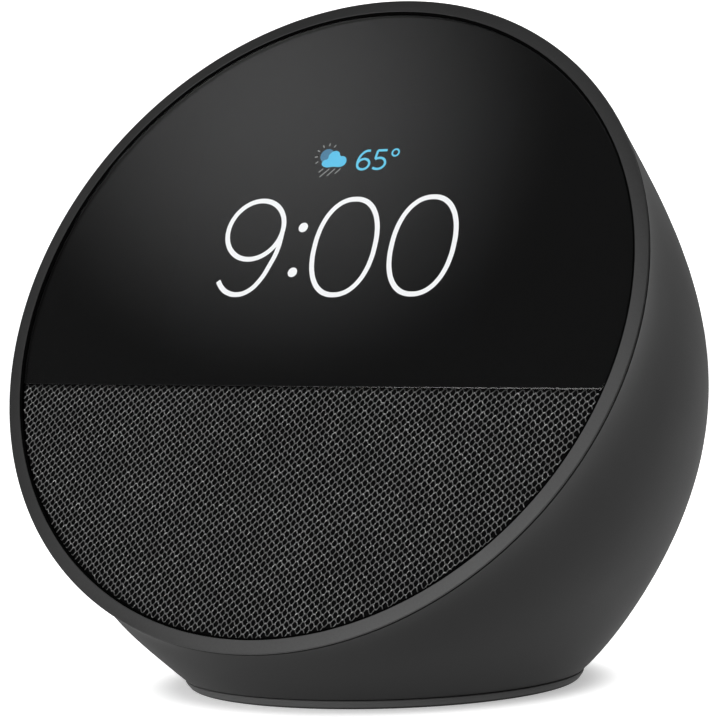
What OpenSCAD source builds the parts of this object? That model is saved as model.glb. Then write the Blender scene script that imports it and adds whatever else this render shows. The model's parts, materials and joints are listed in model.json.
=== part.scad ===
// Round-faced desk smart display: a tilted disc face over a rounded body on an oval rubber foot.
// The base stands on z = 0, the face looks towards -Y. All sizes are in millimetres.

/* [Face] */
// outer radius of the bezel ring
ring_r = 56.5; // [56:0.1:57]
// face width of the bezel ring
ring_w = 2.2; // [2:0.1:2.6]
// lean of the face back from vertical, degrees
face_tilt = 25.3; // [25:0.1:25.6]
// height of the face centre above the table
face_h = 60.4; // [60.2:0.1:60.6]
// distance of the face centre in front of the foot centre
face_front = 23.6; // [23.4:0.1:23.8]
// distance from the face centre down to the line between glass and fabric
split_drop = 12.86; // [12.5:0.1:13.2]

/* [Body] */
// wall of the rear casing
wall = 2.2; // [2:0.1:2.4]
// half-width of the casing at its lower edge
base_half_w = 31; // [30.5:0.1:31.5]
// half-depth of the casing at its lower edge
base_half_d = 38; // [37.5:0.1:38.5]
// height of the casing's lower edge
base_z = 1.6; // [1.5:0.1:1.8]
// thickness of the casing floor
floor_t = 2; // [1.8:0.1:2.1]

/* [Keys] */
// radius of a key cap
key_r = 4.2; // [4:0.1:4.3]
// distance between neighbouring keys
key_pitch = 12.5; // [12.3:0.1:12.6]
// travel of a key
key_travel = 0.4; // [0.3:0.05:0.4]

/* [Speaker] */
// radius of the speaker flange, for a 44 mm driver
driver_r = 22; // [21.9:0.1:22.1]
// distance from the face centre down to the speaker axis
driver_drop = 30.5; // [30.3:0.1:30.6]
// cone travel each way
cone_travel = 1.2; // [0.8:0.1:1.2]

/* [Power inlet] */
// radius of the recess that takes the plug collar
inlet_r = 4.6; // [4.4:0.1:4.7]
// depth of that recess
inlet_depth = 5; // [4.6:0.1:5]

/* [Node] */
// sub-part to draw

/* [Hidden] */

$fn = 96;
eps = 0.01;
long = 200;

// ---- frames: (y, z) directions of the face, and where the keys and the inlet sit ----
face_mid = [-face_front, face_h];
face_up = [sin(face_tilt), cos(face_tilt)];
face_out = [-cos(face_tilt), sin(face_tilt)];

lip_d = 0.6;                                // casing edge behind the face plane
rim_mid = face_mid - face_out * lip_d;
rim_top = rim_mid + face_up * ring_r;
rim_bottom = rim_mid - face_up * ring_r;

// side view of the body: control points of the back, from the ring's top to the heel
shoulder = [31, 101];
nape = [42, 83];
bulge = [74, 66];
haunch = [55, 16];
heel = [base_half_d, base_z];
toe = [-base_half_d, base_z];
chin = (rim_bottom + toe) / 2 + [0.2, 0.2];  // the front under the ring is almost straight
width_pull = [48.5, 62.5, 43];               // control half-widths between ring and base

function bez(p, u) = len(p) == 1 ? p[0]
    : bez([for (i = [0:len(p) - 2]) p[i] * (1 - u) + p[i + 1] * u], u);
function back_at(u) = bez([rim_top, shoulder, nape, bulge, haunch, heel], u);
function front_at(u) = bez([rim_bottom, chin, toe], u);
function half_width_at(u) = bez(concat([ring_r], width_pull, [base_half_w]), u);
function back_slope(u) = back_at(u + 0.005) - back_at(u - 0.005);
function back_normal(u) = let (t = back_slope(u)) [-t.y, t.x] / norm(t);
function lean_of(n) = atan2(n.x, n.y);

key_u = 0.19;                                // place of the keys along the back curve
key_spot = back_at(key_u);
key_lean = lean_of(back_normal(key_u));
inlet_u = 0.86;
inlet_spot = back_at(inlet_u);
inlet_lean = lean_of(back_normal(inlet_u));

module on_face() translate([0, face_mid.x, face_mid.y]) rotate([90 - face_tilt, 0, 0]) children();
module at_keys() translate([0, key_spot.x, key_spot.y]) rotate([-key_lean, 0, 0]) children();
module at_inlet() translate([0, inlet_spot.x, inlet_spot.y]) rotate([-inlet_lean, 0, 0]) children();
module on_driver() on_face() translate([0, -driver_drop, 0]) children();

// a face-frame point (x, up, out) in the part's own frame
function from_face(p) = let (q = face_mid + face_up * p.y + face_out * p.z) [p.x, q.x, q.y];
// a point (x, along, out) of the frame whose z axis leans by a from +Z towards +Y
function from_lean(spot, a, p) = [p.x, spot.x + p.y * cos(a) + p.z * sin(a),
    spot.y - p.y * sin(a) + p.z * cos(a)];

// ---- shapes used more than once ----
ring_steps = 56;

// closed outline of the body between back and front at u, drawn in by inset
function section(u, inset) =
    let (mid = (back_at(u) + front_at(u)) / 2,
        half = (back_at(u) - front_at(u)) / 2,
        k = 1 - inset / norm(half),
        w = half_width_at(u) - inset)
    [for (i = [0:ring_steps - 1]) let (a = 360 * i / ring_steps)
        [w * cos(a), mid.x + k * half.x * sin(a), mid.y + k * half.y * sin(a)]];

module loft(rings) {
    n = len(rings[0]);
    last = len(rings) - 1;
    walls = [for (j = [0:last - 1], i = [0:n - 1], side = [0, 1])
        let (a = j * n + i, b = j * n + (i + 1) % n)
        side == 0 ? [a, b, a + n] : [b, b + n, a + n]];
    caps = [[for (i = [n - 1:-1:0]) i], [for (i = [0:n - 1]) last * n + i]];
    polyhedron(points = [for (r = rings, p = r) p], faces = concat(walls, caps));
}

function oval(hw, hd, z) = [for (i = [0:ring_steps - 1]) let (a = 360 * i / ring_steps)
    [hw * cos(a), hd * sin(a), z]];

module oval_plate(hw, hd, z0, h) translate([0, 0, z0]) linear_extrude(h)
    polygon([for (p = oval(hw, hd, 0)) [p.x, p.y]]);

module tube(r_out, r_in, z0, z1) rotate_extrude()
    translate([r_in, z0]) square([r_out - r_in, z1 - z0]);

module disc(r, z0, z1) translate([0, 0, z0]) cylinder(r = r, h = z1 - z0);

module block(size, mid, z0) translate([mid.x - size.x / 2, mid.y - size.y / 2, z0]) cube(size);

// the part of a disc above (side = 1) or below (side = -1) the glass and fabric line
module segment(r, side, z0, z1, gap = 0.1) intersection() {
    disc(r, z0, z1);
    translate([-long / 2, side > 0 ? gap - split_drop : -long - gap - split_drop, z0 - 1])
        cube([long, long, z1 - z0 + 2]);
}

// pan-head screw with its head under z = 0 and its shank pointing up
module screw(length, head_r, head_h, shank_r) {
    disc(head_r, -head_h, 0);
    disc(shank_r, -eps, length);
}

// straight lead between two points, with a bead at its far end that rounds the bend
module lead(a, b, r) {
    d = b - a;
    translate(a) rotate([0, acos(d.z / norm(d)), atan2(d.y, d.x)]) cylinder(r = r, h = norm(d), $fn = 24);
    translate(b) sphere(r = r * 1.15, $fn = 24);
}
module lead_run(points, r) for (i = [0:len(points) - 2]) lead(points[i], points[i + 1], r);

// thin strip that follows (y, z) points, square ends
function strip_side(p, i, h) =
    let (d = i == 0 ? p[1] - p[0] : i == len(p) - 1 ? p[i] - p[i - 1] : p[i + 1] - p[i - 1])
    p[i] + [-d.y, d.x] / norm(d) * h;
module strip(points, width, x_mid, t = 0.3) {
    outline = concat([for (i = [0:len(points) - 1]) strip_side(points, i, t / 2)],
        [for (i = [len(points) - 1:-1:0]) strip_side(points, i, -t / 2)]);
    translate([x_mid - width / 2, 0, 0]) rotate([90, 0, 90]) linear_extrude(width) polygon(outline);
}

// ---- places of fasteners and boards in the face frame ----
boss_at = [[41.5, 18], [-41.5, 18], [38, -28], [-38, -28]];
post_at = [[34.3, 2], [-34.3, 2], [34.3, 32], [-34.3, 32]];
chassis_front = -3;
chassis_back = -6;
board_front = -12;
board_t = 1.6;
board_back = board_front - board_t;
button_board_top = -10.5;                    // in the frame of the keys
button_board_t = 1.2;
button_screw_at = [[19, 7], [-19, 7]];
mic_at = [[19.5, -6], [-19.5, -6]];
switch_h = 2;
floor_top = base_z + floor_t;
base_screw_at = [[14, 18], [-14, 18], [14, -18], [-14, -18]];

// ---- casing and foot ----
casing_steps = 22;

module casing_cavity() intersection() {
    loft(concat([[for (p = section(0, wall)) p + [0, face_out.x, face_out.y]]],
        [for (j = [0:casing_steps]) section(j / casing_steps, wall)]));
    translate([-long / 2, -long / 2, floor_top]) cube(long);
}

module rear_casing() color("dimgray") difference() {
    loft([for (j = [0:casing_steps]) section(j / casing_steps, 0)]);
    difference() {
        casing_cavity();
        on_face() for (p = boss_at) translate(p) disc(3.2, -long, chassis_back);
        at_keys() for (p = button_screw_at) translate(p) disc(2.4, button_board_top, long);
    }
    on_face() disc(ring_r - 1.4, -1.75, 5);
    on_face() for (p = boss_at) translate(p) disc(1, chassis_back - 9, chassis_back + 1);
    at_keys() for (p = button_screw_at) translate(p)
        disc(0.9, button_board_top - 1, button_board_top + 3.5);
    at_keys() for (i = [-1:1]) translate([i * key_pitch, 0]) disc(key_r + 0.4, -9, 5);
    at_keys() for (p = mic_at) translate(p) disc(0.6, -9, 5);
    at_inlet() disc(7.1, -6, 5);
    for (p = base_screw_at) translate(p) disc(1.2, 0, floor_top + 1);
}

foot_hw = 30.2;
foot_hd = 36.3;

module foot_pad() color("gray") loft([oval(foot_hw, foot_hd, 0), oval(base_half_w, base_half_d - 0.2, 1.2),
    oval(base_half_w - 0.2, base_half_d - 0.4, 1.35), oval(base_half_w - 1.6, base_half_d - 1.8, 1.36),
    oval(base_half_w - 1.6, base_half_d - 1.8, base_z)]);

module ballast_plate() color("silver") difference() {
    oval_plate(22, 27, floor_top, 1.5);
    for (p = base_screw_at) translate(p) disc(1, 0, 10);
}

module base_screws() color("silver") for (p = base_screw_at)
    translate([p.x, p.y, base_z]) disc(0.9, 0.05, floor_t + 1.5);

// ---- face: ring, glass, fabric ----
glass_r = ring_r - ring_w - 0.25;
shelf_r = 50.5;
glass_front = -0.25;
glass_back = -0.95;
tape_back = -1.1;
groove = 0.6;                                // seam under the ring's outer edge

module bezel_ring() color("#333436") on_face() rotate_extrude() polygon([
    [ring_r - ring_w, 0.15], [ring_r - 0.1, -0.06], [ring_r, -0.16], [ring_r, -0.26],
    [ring_r - groove, -0.26], [ring_r - groove, -lip_d], [ring_r - 1.5, -lip_d],
    [ring_r - 1.5, -1.7], [53, -1.7], [53, chassis_front], [shelf_r, chassis_front],
    [shelf_r, tape_back], [ring_r - ring_w, tape_back]]);

module cover_glass() color([0.1, 0.1, 0.12, 0.6]) on_face()
    segment(glass_r, 1, glass_back, glass_front);

active_w = 57.5;
active_h = 43.1;
active_y = 15.5;                             // centre of the picture above the face centre

module glass_mask() color("black") on_face() difference() {
    segment(shelf_r - 0.1, 1, glass_back - 0.1, glass_back);
    block([active_w, active_h, 2], [0, active_y], -2);
}

module glass_tape() color("#222222") on_face() difference() {
    segment(glass_r - 0.1, 1, tape_back, glass_back);
    disc(shelf_r, -2, 0);
}

module lcd_panel() color("#15151a") on_face()
    block([active_w + 3.4, active_h + 5.6, 1.4], [0, active_y - 1.4], -2.45);

module light_guide() color("white") on_face()
    block([active_w + 3.4, active_h + 5.6, 1.9], [0, active_y - 1.4], -4.35);

module backlight_tray() color("silver") on_face() difference() {
    block([active_w + 4.2, active_h + 6.4, 3.1], [0, active_y - 1.4], -4.7);
    block([active_w + 3.4, active_h + 5.6, 3.1], [0, active_y - 1.4], -4.35);
}

flex_x = -12;

module display_flex() color("orange") strip([
    let (p = from_face([0, -9, -4.85])) [p.y, p.z],
    let (p = from_face([0, 2, -4.85])) [p.y, p.z],
    let (p = from_face([0, 3, -6])) [p.y, p.z],
    let (p = from_face([0, 3, -10.5])) [p.y, p.z]], 16, flex_x, 0.25);

module light_sensor() color("#202830") on_face() block([3, 2.4, 0.8], [0, 45], -1.85);

module grille_fabric() color("#2a2a2c") on_face() segment(glass_r, -1, -0.7, -0.2);

hole_pitch = 4.2;

module grille_plate() color("#1c1c1e") on_face() difference() {
    union() {
        segment(glass_r - 0.1, -1, -1.1, -0.7);
        segment(shelf_r - 0.3, -1, -2.6, -0.7);
    }
    for (row = [0:7], col = [-11:11]) {
        x = (col + (row % 2) / 2) * hole_pitch;
        y = -17.5 - row * hole_pitch * cos(30);
        if (norm([x, y]) < 46.5) translate([x, y]) disc(1.35, -4, 0);
    }
}

// ---- chassis behind the face ----
module front_chassis() color("#3c3f44") on_face() difference() {
    union() {
        disc(52, chassis_back, chassis_front);
        for (p = post_at) translate(p) disc(2.6, board_front, chassis_front);
    }
    block([active_w + 5.7, active_h + 7.4, 10], [0, active_y - 1.4], -9);
    translate([0, -driver_drop]) disc(17.6, -9, 0);
    for (p = post_at) translate(p) disc(0.9, board_front - 1, -7);
    for (p = boss_at) translate(p) disc(1.15, -9, 0);
    for (p = boss_at) translate(p) disc(2.1, chassis_front - 1.4, 0);
    for (a = [45:90:315]) translate([0, -driver_drop]) rotate(a) translate([driver_r - 1.6, 0])
        disc(0.85, -9, chassis_front - 0.8);
}

module chassis_screws() color("silver") on_face() for (p = boss_at)
    translate([p.x, p.y, chassis_front - 1.4]) rotate([180, 0, 0]) screw(9, 1.9, 1.2, 0.95);

// ---- speaker: driver along the face normal, sealed enclosure behind it ----
flange_front = chassis_back - 0.6;
flange_back = flange_front - 1;
coil_r = 6.3;

module speaker_gasket() color("#444444") on_driver() difference() {
    tube(driver_r - 0.2, 19.6, flange_front, chassis_back);
    for (a = [45:90:315]) rotate(a) translate([driver_r - 1.6, 0]) disc(0.9, -9, 0);
}

module speaker_basket() color("#26282b") on_driver() difference() {
    rotate_extrude() polygon([[17.4, flange_front], [driver_r, flange_front], [driver_r, flange_back],
        [18.4, flange_back], [14.6, -13.4], [14.6, -14.5], [9, -14.5], [9, -13.9], [12.6, -13.9],
        [12.6, -12.9], [13.6, -12.9], [17.4, flange_back]]);
    for (a = [45:90:315]) rotate(a) translate([driver_r - 1.6, 0]) disc(0.85, -9, 0);
    for (a = [0:90:270]) rotate(a) translate([10, -4, -12.4]) cube([12, 8, 3.6]);
}

module speaker_surround() color("#111111") on_driver() rotate_extrude() {
    translate([17, flange_front]) square([2.4, 0.3]);
    translate([15.9, flange_front]) difference() {
        circle(r = 1.4);
        circle(r = 1.1);
        translate([-3, -3]) square([6, 3]);
    }
}

module speaker_cone() color("#2f2f2f") on_driver() rotate_extrude() polygon([
    [14.4, -6.75], [15.6, -6.75], [15.6, -7.05], [14.5, -7.05], [coil_r + 0.7, -10.8],
    [coil_r, -10.8], [coil_r, -10.3]]);

module dust_cap() color("#3a3a3a") on_driver() intersection() {
    disc(6.8, -9.98, -7);
    translate([0, 0, -18]) difference() {
        sphere(r = 10.6);
        sphere(r = 10.2);
    }
}

module voice_coil() color("#b87333") on_driver() {
    tube(coil_r + 0.25, coil_r, -17.4, -10.8);
    tube(coil_r + 0.6, coil_r + 0.2, -17.2, -14.6);
}

module speaker_spider() color("#c9a24a") on_driver() rotate_extrude() polygon([
    for (s = [1, -1]) for (i = [0:20]) let (k = s > 0 ? i : 20 - i, r = coil_r + 0.6 + k * 0.34)
        [r, -12.55 + 0.25 * sin(k * 108) + s * 0.1]]);

module speaker_top_plate() color("silver") on_driver() tube(12.4, coil_r + 0.95, -16, -14.5);

module speaker_magnet() color("#55585c") on_driver() tube(13, 8.4, -21, -16);

module speaker_yoke() color("silver") on_driver() {
    disc(13, -22.5, -21);
    disc(coil_r - 0.35, -21.01, -14.5);
}

module speaker_terminals() color("#8a6d3b") on_driver()
    block([12, 2.6, 0.9], [0, driver_r - 2.1], flange_back - 0.9);

module speaker_screws() color("silver") on_driver() for (a = [45:90:315])
    rotate(a) translate([driver_r - 1.6, 0, flange_back]) screw(3.6, 1.5, 1, 0.8);

lead_x = 4;

module speaker_enclosure() color("#2c2e31") difference() {
    on_driver() rotate_extrude() polygon([[24.2, chassis_back], [24.2, -13], [17, -18], [17, -26],
        [0, -26], [0, -24.5], [15.5, -24.5], [15.5, -17.2], [22.6, -12.3], [22.6, chassis_back]]);
    on_face() translate([lead_x, -3, -10]) rotate([90, 0, 0]) cylinder(r = 1.6, h = 8);
}

module speaker_leads() color("firebrick") on_face() for (x = [lead_x - 0.7, lead_x + 0.7])
    lead_run([[x, -10.4, flange_back - 0.95], [x, -10.4, -10], [x, -0.8, -10]], 0.5);

// ---- main board ----
board_mid = [0, 17];

module main_board() color("darkgreen") on_face() difference() {
    block([74, 36, board_t], board_mid, board_back);
    for (p = post_at) translate(p) disc(1.1, board_back - 1, board_front + 1);
}

module processor() color("#18181a") on_face() block([12, 12, 1.2], [-8, 17], board_back - 1.2);
module memory_chip() color("#202022") on_face() block([9, 11, 1], [8, 17], board_back - 1);

module shield_can() color("silver") on_face() difference() {
    block([34, 22, 2.2], board_mid, board_back - 2.2);
    block([33.4, 21.4, 2], board_mid, board_back - 1.9);
}

module thermal_pad() color("#8aa0b0") on_face() block([14, 14, 0.8], [-8, 17], board_back - 3);

module heat_spreader() color("lightgray") on_face() {
    block([51, 30, 1.5], board_mid, board_back - 4.5);
    for (x = [-24.5, 24.5]) block([2, 30, 3.01], [x, 17], board_back - 3.01);
}

module wifi_module() color("#b0b4b8") on_face() block([8, 14, 1.8], [31, 17], board_back - 1.8);

module board_connectors() color("ivory") on_face() {
    block([17, 4, 1.4], [flex_x, 3], board_front);
    block([7, 3, 3], [lead_x, 1.4], board_front);
    block([10, 3, 1.4], [-14, 33], board_back - 1.4);
    block([8, 5, 4], [-31, 17], board_back - 4);
}

module board_screws() color("silver") on_face() for (p = post_at)
    translate([p.x, p.y, board_back]) screw(5.5, 1.9, 1.2, 0.85);

module wifi_antennas() color("#b8860b") on_face() {
    block([36, 6, 0.3], [0, 45.5], chassis_back - 0.3);
    block([6, 22, 0.3], [-46, -5], chassis_back - 0.3);
}

// ---- keys, button board and microphones ----
// each key: x place and depth of the flange that keeps it in
function key_x(i) = i * key_pitch;
function flange_z(i) = i == 0 ? -3.1 : -6;
cap_dome_r = 54;
cap_proud = 0.35;

module key(i) color("#3a3b3d") at_keys() {
    intersection() {
        translate([key_x(i), 0]) disc(key_r, flange_z(i) - 0.5, 3);
        translate([0, 0, cap_proud - cap_dome_r]) sphere(r = cap_dome_r);
    }
    translate([key_x(i), 0]) disc(key_r + 0.8, flange_z(i) - 0.8, flange_z(i));
    translate([key_x(i), 0]) disc(1.5, button_board_top + switch_h + 0.5, flange_z(i) - 0.5);
}

module volume_down_key() key(-1);
module mic_off_key() key(0);
module volume_up_key() key(1);

module plunger(i) color("white") at_keys() translate([key_x(i), 0])
    disc(1.1, button_board_top + switch_h - 0.9, button_board_top + switch_h + 0.5);

module volume_down_plunger() plunger(-1);
module mic_off_plunger() plunger(0);
module volume_up_plunger() plunger(1);

module button_switches() color("#1b1b1b") at_keys() for (i = [-1:1]) translate([key_x(i), 0]) difference() {
    block([5, 5, switch_h], [0, 0], button_board_top);
    disc(1.4, button_board_top + switch_h - 1.4, 0);
}

module button_board() color("darkgreen") at_keys() difference() {
    block([44, 19, button_board_t], [0, 0.5], button_board_top - button_board_t);
    for (p = button_screw_at) translate(p) disc(1, -20, 0);
}

module button_screws() color("silver") at_keys() for (p = button_screw_at)
    translate([p.x, p.y, button_board_top - button_board_t]) screw(4.2, 1.8, 1.1, 0.85);

module microphones() color("gold") at_keys() for (p = mic_at) block([3.4, 2.6, 1], p, button_board_top);

module mic_boots() color("#111111") at_keys() for (p = mic_at) translate(p)
    tube(1.2, 0.6, button_board_top + 1, button_board_top + 3.3);

module button_flex() color("orange") strip([
    let (p = from_lean(key_spot, key_lean, [0, -6, -11.85])) [p.y, p.z],
    let (p = from_lean(key_spot, key_lean, [0, -2, -12.2])) [p.y, p.z],
    let (p = from_face([0, 36, -20])) [p.y, p.z],
    let (p = from_face([0, 33, -15.15])) [p.y, p.z]], 8, -14, 0.25);

// ---- power inlet ----
collar_z = -0.3;
collar_floor = collar_z - inlet_depth;
jack_front = collar_floor - 1.5;

module inlet_bezel() color("#222326") at_inlet() rotate_extrude() polygon([[inlet_r, collar_z],
    [6.5, collar_z], [6.8, collar_z - 0.3], [6.8, -3.7], [8.6, -3.7], [8.6, -4.8], [6.8, -4.8],
    [6.8, jack_front], [3.1, jack_front], [3.1, collar_floor], [inlet_r, collar_floor]]);

module jack_body() color("#101010") at_inlet() difference() {
    block([10, 10, 12], [0, 0], jack_front - 12);
    disc(3, jack_front - 10, jack_front + 1);
}

module jack_contact() color("silver") at_inlet() {
    tube(3, 2.75, jack_front - 10, jack_front - 1);
    disc(2.8, jack_front - 10, jack_front - 9.5);
    disc(0.8, jack_front - 9.6, jack_front - 1.5);
}

module power_leads() color("black") for (x = [-1.3, 1.3]) lead_run([
    from_lean(inlet_spot, inlet_lean, [x, 0, jack_front - 12.7]),
    [x, 18, 38],
    from_face([x - 16, 17, -30]),
    from_face([x - 30, 17, board_back - 5])], 0.6);

rear_casing();
bezel_ring();
cover_glass();
glass_mask();
glass_tape();
lcd_panel();
light_guide();
backlight_tray();
display_flex();
light_sensor();
front_chassis();
chassis_screws();
grille_fabric();
grille_plate();
speaker_gasket();
speaker_basket();
speaker_surround();
speaker_cone();
dust_cap();
voice_coil();
speaker_spider();
speaker_top_plate();
speaker_magnet();
speaker_yoke();
speaker_terminals();
speaker_screws();
speaker_enclosure();
speaker_leads();
main_board();
processor();
memory_chip();
shield_can();
thermal_pad();
heat_spreader();
wifi_module();
board_connectors();
board_screws();
wifi_antennas();
button_board();
button_screws();
button_switches();
volume_down_key();
mic_off_key();
volume_up_key();
volume_down_plunger();
mic_off_plunger();
volume_up_plunger();
button_flex();
microphones();
mic_boots();
inlet_bezel();
jack_body();
jack_contact();
power_leads();
ballast_plate();
base_screws();
foot_pad();
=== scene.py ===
import math
import random
import bmesh
import bpy
from mathutils import Matrix, Vector
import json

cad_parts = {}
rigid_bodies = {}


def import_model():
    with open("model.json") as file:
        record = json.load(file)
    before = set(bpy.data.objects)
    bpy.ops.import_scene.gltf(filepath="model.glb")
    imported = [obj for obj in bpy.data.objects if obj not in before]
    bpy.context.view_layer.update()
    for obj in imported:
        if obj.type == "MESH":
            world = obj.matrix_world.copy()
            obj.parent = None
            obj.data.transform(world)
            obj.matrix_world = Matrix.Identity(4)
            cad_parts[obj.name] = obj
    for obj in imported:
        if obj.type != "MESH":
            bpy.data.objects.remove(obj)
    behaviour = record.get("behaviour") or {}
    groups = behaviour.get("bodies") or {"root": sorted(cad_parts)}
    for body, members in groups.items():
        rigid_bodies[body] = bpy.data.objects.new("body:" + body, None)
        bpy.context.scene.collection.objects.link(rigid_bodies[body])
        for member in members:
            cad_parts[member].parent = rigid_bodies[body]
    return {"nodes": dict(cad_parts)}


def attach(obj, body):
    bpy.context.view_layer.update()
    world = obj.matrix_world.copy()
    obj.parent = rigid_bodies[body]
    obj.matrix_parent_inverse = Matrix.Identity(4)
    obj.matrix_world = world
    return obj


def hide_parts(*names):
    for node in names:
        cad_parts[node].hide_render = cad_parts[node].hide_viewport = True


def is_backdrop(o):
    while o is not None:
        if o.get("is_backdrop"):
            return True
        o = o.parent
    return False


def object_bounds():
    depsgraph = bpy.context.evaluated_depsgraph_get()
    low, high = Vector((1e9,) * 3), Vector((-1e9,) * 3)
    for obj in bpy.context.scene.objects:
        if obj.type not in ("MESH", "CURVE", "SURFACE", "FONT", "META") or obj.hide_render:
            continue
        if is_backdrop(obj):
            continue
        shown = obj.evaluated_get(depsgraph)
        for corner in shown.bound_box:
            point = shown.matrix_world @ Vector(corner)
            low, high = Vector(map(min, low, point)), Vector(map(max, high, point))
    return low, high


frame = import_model()
cadLow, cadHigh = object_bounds()
nodes = frame["nodes"]
mm = 0.001
random.seed(7)
print("frame loaded:", len(nodes), "nodes")

# places, in millimetres: where the face, the keys and the inlet sit, and how far each leans
faceTilt = math.radians(25.3)
faceMid = Vector((0, -23.6, 60.4))
faceUp = Vector((0, math.sin(faceTilt), math.cos(faceTilt)))
faceOut = Vector((0, -math.cos(faceTilt), math.sin(faceTilt)))


def pointOnCurve(controls, u):
    # a Bezier curve with any number of control points
    while len(controls) > 1:
        controls = [a.lerp(b, u) for a, b in zip(controls, controls[1:])]
    return controls[0]


body = {"ringR": 56.5, "lip": 0.6, "wall": 2.2, "floorTop": 3.6, "widths": [56.5, 48.5, 62.5, 43, 31],
        "back": [(31, 101), (42, 83), (74, 66), (55, 16), (38, 1.6)], "toe": (-38, 1.6),
        "around": 144, "sections": 60}
rimMid = faceMid - faceOut * body["lip"]
rimTop = rimMid + faceUp * body["ringR"]
rimBottom = rimMid - faceUp * body["ringR"]
toe = Vector((0, *body["toe"]))
backControls = [rimTop] + [Vector((0, y, z)) for y, z in body["back"]]
frontControls = [rimBottom, (rimBottom + toe) / 2 + Vector((0, 0.2, 0.2)), toe]
widthControls = [Vector((w, 0, 0)) for w in body["widths"]]


def spotOnBack(u):
    spot = pointOnCurve(backControls, u)
    along = pointOnCurve(backControls, u + 0.005) - pointOnCurve(backControls, u - 0.005)
    return spot, math.atan2(-along.z, along.y)


keySpot, keyLean = spotOnBack(0.19)
inletSpot, inletLean = spotOnBack(0.86)
places = {"face": (faceMid, math.pi / 2 - faceTilt), "keys": (keySpot, keyLean), "inlet": (inletSpot, inletLean)}


# working helpers
def objectMode():
    if bpy.context.object and bpy.context.object.mode != "OBJECT":
        bpy.ops.object.mode_set(mode="OBJECT")


def deselectAll():
    objectMode()
    for piece in bpy.context.view_layer.objects:
        piece.select_set(False)


def pick(*pieces):
    deselectAll()
    for piece in pieces:
        piece.select_set(True)
    bpy.context.view_layer.objects.active = pieces[0]


def named(name):
    piece = bpy.context.object
    piece.name = name
    piece.data.name = name
    return piece


def editMode(piece, select="SELECT"):
    pick(piece)
    bpy.ops.object.mode_set(mode="EDIT")
    bpy.ops.mesh.select_mode(type="VERT")
    bpy.ops.mesh.select_all(action=select)


def selectWhere(test, kind="verts"):
    # in edit mode: vertices by place, faces by centre and normal
    mesh = bmesh.from_edit_mesh(bpy.context.object.data)
    bpy.ops.mesh.select_all(action="DESELECT")
    if kind == "faces":
        for face in mesh.faces:
            face.select_set(test(face.calc_center_median() / mm, face.normal))
    else:
        for vert in mesh.verts:
            vert.select_set(test(vert.co / mm))
    mesh.select_flush_mode()
    bmesh.update_edit_mesh(bpy.context.object.data)


def turnInto(piece, place):
    # a piece made lying flat at the origin goes to its place, and its object stays at the origin
    pick(piece)
    spot, lean = places[place]
    piece.location = spot * mm
    piece.rotation_euler = (lean if place == "face" else -lean, 0, 0)
    bpy.ops.object.transform_apply(location=True, rotation=True, scale=True)


def useModifier(piece, kind, **settings):
    pick(piece)
    modifier = piece.modifiers.new(kind.lower(), kind)
    for key, value in settings.items():
        setattr(modifier, key, value)
    bpy.ops.object.modifier_apply(modifier=modifier.name)


def softenEdges(piece, width, segments=3, angle=30):
    useModifier(piece, "BEVEL", width=width * mm, segments=segments, limit_method="ANGLE",
                angle_limit=math.radians(angle), use_clamp_overlap=True)


def smooth(piece, angle=35):
    pick(piece)
    bpy.ops.object.shade_smooth_by_angle(angle=math.radians(angle))


def cutAway(piece, cutter):
    useModifier(piece, "BOOLEAN", operation="DIFFERENCE", object=cutter, solver="EXACT")
    bpy.data.objects.remove(cutter)


def drawLine(name, points, closed=False):
    # one vertex, extruded from point to point
    deselectAll()
    bpy.ops.mesh.primitive_plane_add(size=mm)
    piece = named(name)
    editMode(piece)
    bpy.ops.mesh.merge(type="CENTER")
    bpy.ops.transform.translate(value=Vector(points[0]) * mm)
    for a, b in zip(points, points[1:]):
        bpy.ops.mesh.extrude_region_move(TRANSFORM_OT_translate={"value": (Vector(b) - Vector(a)) * mm})
    if closed:
        ends = [Vector(points[0]), Vector(points[-1])]
        selectWhere(lambda p: min((p - e).length for e in ends) < 1e-4)
        bpy.ops.mesh.edge_face_add()
    return piece


def lathe(name, profile, steps=192, closed=True):
    # (radius, height) profile spun round the z axis
    piece = drawLine(name, [(r, 0, z) for r, z in profile], closed)
    bpy.ops.mesh.select_all(action="SELECT")
    bpy.ops.mesh.spin(steps=steps, angle=2 * math.pi, center=(0, 0, 0), axis=(0, 0, 1))
    bpy.ops.mesh.select_all(action="SELECT")
    bpy.ops.mesh.remove_doubles(threshold=1e-6)
    bpy.ops.mesh.normals_make_consistent(inside=False)
    objectMode()
    return piece


def disc(name, radius, z0, z1, at=(0, 0), sides=192):
    deselectAll()
    bpy.ops.mesh.primitive_cylinder_add(vertices=sides, radius=radius * mm, depth=(z1 - z0) * mm,
                                        location=(at[0] * mm, at[1] * mm, (z0 + z1) / 2 * mm))
    piece = named(name)
    bpy.ops.object.transform_apply(location=True, rotation=True, scale=True)
    return piece


def joined(pieces):
    pick(*pieces)
    if len(pieces) > 1:
        bpy.ops.object.join()
    return bpy.context.object


def halved(piece, y, side, **clear):
    # cuts a lying disc along y, keeps one side of it and closes the cut
    editMode(piece)
    bpy.ops.mesh.bisect(plane_co=(0, y * mm, 0), plane_no=(0, side, 0), use_fill=True, **clear)


def meshFrom(name, curve):
    piece = bpy.data.objects.new(name, curve)
    bpy.context.scene.collection.objects.link(piece)
    pick(piece)
    bpy.ops.object.convert(target="MESH")
    return bpy.context.object


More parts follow.
